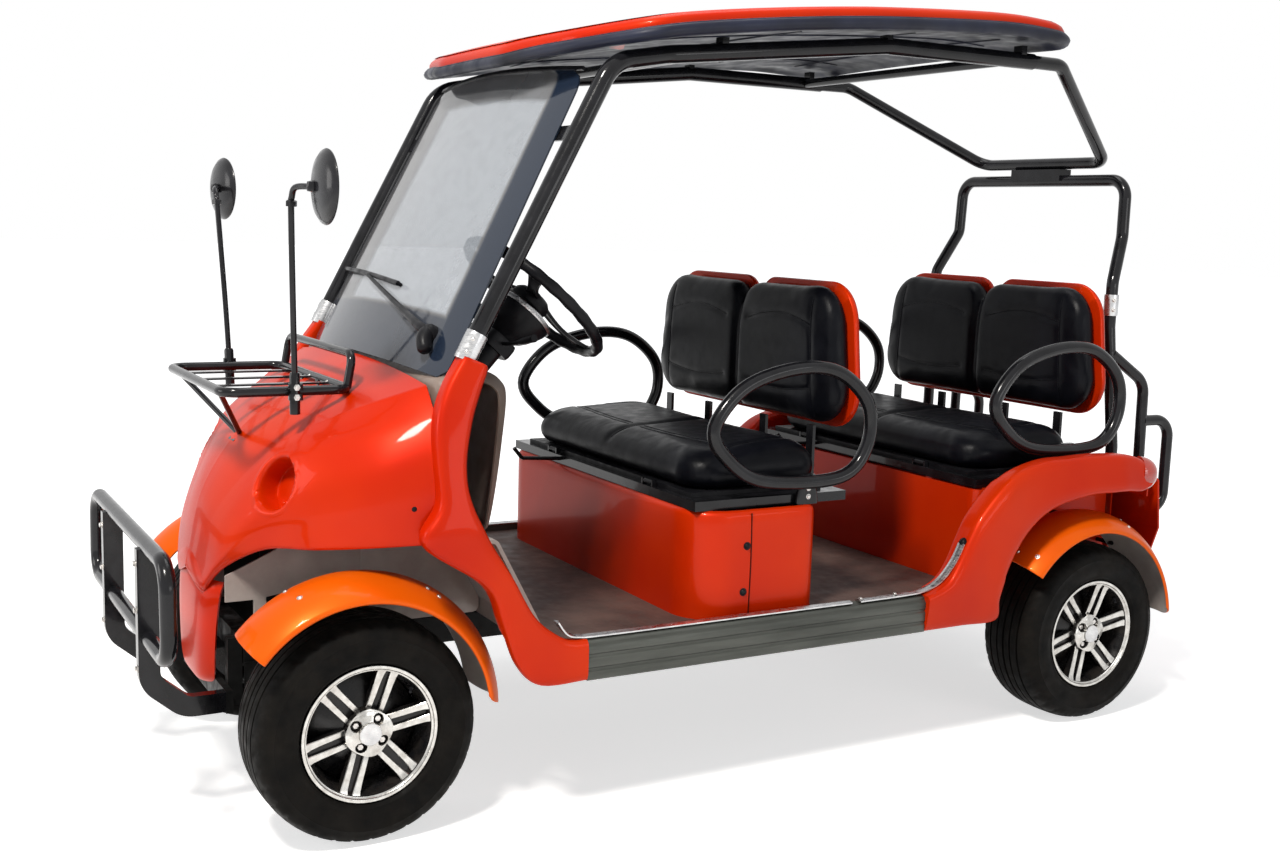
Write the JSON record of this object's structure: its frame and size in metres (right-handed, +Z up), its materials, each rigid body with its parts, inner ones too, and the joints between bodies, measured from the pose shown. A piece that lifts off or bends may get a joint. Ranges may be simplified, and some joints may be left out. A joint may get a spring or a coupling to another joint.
{
  "type": "golf cart",
  "caption": "Open golf cart with forward-facing bench seats, curved hood, bull bar, front luggage rack, windshield, roof and cycle fenders; wheels, steering and seat lids move.",
  "frame": {"origin": "On the ground, on the centre plane, midway along the cart", "axes": "+X to the rear, +Y to the right of someone sitting in the cart, +Z up"},
  "size_m": [2.731, 1.164, 1.738],
  "materials": {
    "body_orange": "glossy metallic orange paint",
    "tyre": "matt rubber",
    "rim_alloy": "machined faces with black pockets",
    "chassis_black": "satin black paint",
    "tube_black": "glossy black powder coat",
    "sill_aluminium": "ribbed satin extrusion",
    "clamp_steel": "brushed",
    "floor_mat": "ribbed mat",
    "inner_panel": "unpainted moulding",
    "dash_taupe": "satin taupe moulding",
    "windshield": "grey tinted sheet with dark bands",
    "seat_black": "smooth sewn cover",
    "plastic_black": "satin moulding",
    "roof_rubber": "satin edge trim and lining",
    "lamp_red": "clear red lens"
  },
  "bodies": {
    "chassis": {"armrests": "plastic_black", "back_shells": "body_orange", "backrests": "seat_black", "battery_pack": "chassis_black", "bull_bar": "tube_black", "chassis_frame": "chassis_black", "cowl": "body_orange", "dash": "dash_taupe", "drive_motor": "chassis_black", "floor_pan": "floor_mat", "front_axle": "chassis_black", "front_seat_box": "body_orange", "inner_panels": "inner_panel", "instrument_pod": "plastic_black", "leaf_springs": "chassis_black", "luggage_rack": "tube_black", "mirrors": "tube_black", "nose_skirt": "body_orange", "pedals": "plastic_black", "pillars": "body_orange", "post_clamps": "clamp_steel", "rear_axle": "chassis_black", "rear_body": "body_orange", "rear_fenders": "body_orange", "rear_hoop": "tube_black", "rear_posts": "tube_black", "rear_quarters": "body_orange", "roof_frame": "tube_black", "roof_shell": "body_orange", "roof_trim": "roof_rubber", "seat_frames": "tube_black", "sills": "sill_aluminium", "tail_lamps": "lamp_red", "tail_panel": "body_orange", "windshield": "windshield", "wiper": "plastic_black"},
    "front_seat_lid": {"front_cushion": "seat_black", "front_seat_base": "plastic_black"},
    "rear_seat_lid": {"rear_cushion": "seat_black", "rear_seat_base": "plastic_black"},
    "steering": {"steering_wheel": "plastic_black"},
    "steer_left": {"knuckle_left": "chassis_black", "front_fender_left": "body_orange"},
    "steer_right": {"knuckle_right": "chassis_black", "front_fender_right": "body_orange"},
    "track_rod": {"tie_rod": "chassis_black"},
    "wheel_front_left": {"tyre_front_left": "tyre", "rim_front_left": "rim_alloy"},
    "wheel_front_right": {"tyre_front_right": "tyre", "rim_front_right": "rim_alloy"},
    "wheel_rear_left": {"tyre_rear_left": "tyre", "rim_rear_left": "rim_alloy"},
    "wheel_rear_right": {"tyre_rear_right": "tyre", "rim_rear_right": "rim_alloy"}
  },
  "joints": [
    {"name": "steering_turn", "type": "hinge", "parent": "chassis", "child": "steering", "pos_m": [-0.538, -0.25, 1.072], "axis": [0.6691, 0, 0.7431], "range_deg": [-420, 420]},
    {"name": "knuckle_left_turn", "type": "hinge", "parent": "chassis", "child": "steer_left", "pos_m": [-0.98, -0.296, 0.2295], "axis": [0, 0, 1], "range_deg": [-28, 28]},
    {"name": "knuckle_right_turn", "type": "hinge", "parent": "chassis", "child": "steer_right", "pos_m": [-0.98, 0.296, 0.2295], "axis": [0, 0, 1], "range_deg": [-28, 28]},
    {"name": "track_rod_turn", "type": "hinge", "parent": "steer_left", "child": "track_rod", "pos_m": [-0.87, -0.296, 0.286], "axis": [0, 0, 1], "range_deg": [-28, 28]},
    {"name": "front_seat_hinge", "type": "hinge", "parent": "chassis", "child": "front_seat_lid", "pos_m": [-0.233, 0, 0.648], "axis": [0, -1, 0], "range_deg": [0, 60]},
    {"name": "rear_seat_hinge", "type": "hinge", "parent": "chassis", "child": "rear_seat_lid", "pos_m": [0.577, 0, 0.648], "axis": [0, -1, 0], "range_deg": [0, 60]},
    {"name": "wheel_front_left_spin", "type": "hinge", "parent": "steer_left", "child": "wheel_front_left", "pos_m": [-0.98, -0.402, 0.2295], "axis": [0, 1, 0], "continuous": true},
    {"name": "wheel_front_right_spin", "type": "hinge", "parent": "steer_right", "child": "wheel_front_right", "pos_m": [-0.98, 0.402, 0.2295], "axis": [0, 1, 0], "continuous": true},
    {"name": "wheel_rear_left_spin", "type": "hinge", "parent": "chassis", "child": "wheel_rear_left", "pos_m": [0.92, -0.472, 0.2295], "axis": [0, 1, 0], "continuous": true},
    {"name": "wheel_rear_right_spin", "type": "hinge", "parent": "chassis", "child": "wheel_rear_right", "pos_m": [0.92, 0.472, 0.2295], "axis": [0, 1, 0], "continuous": true}
  ],
  "couplings": [
    {"joint": "knuckle_left_turn", "follows": "steering_turn", "ratio": 0.066667},
    {"joint": "knuckle_right_turn", "follows": "steering_turn", "ratio": 0.066667},
    {"joint": "track_rod_turn", "follows": "steering_turn", "ratio": -0.066667}
  ]
}
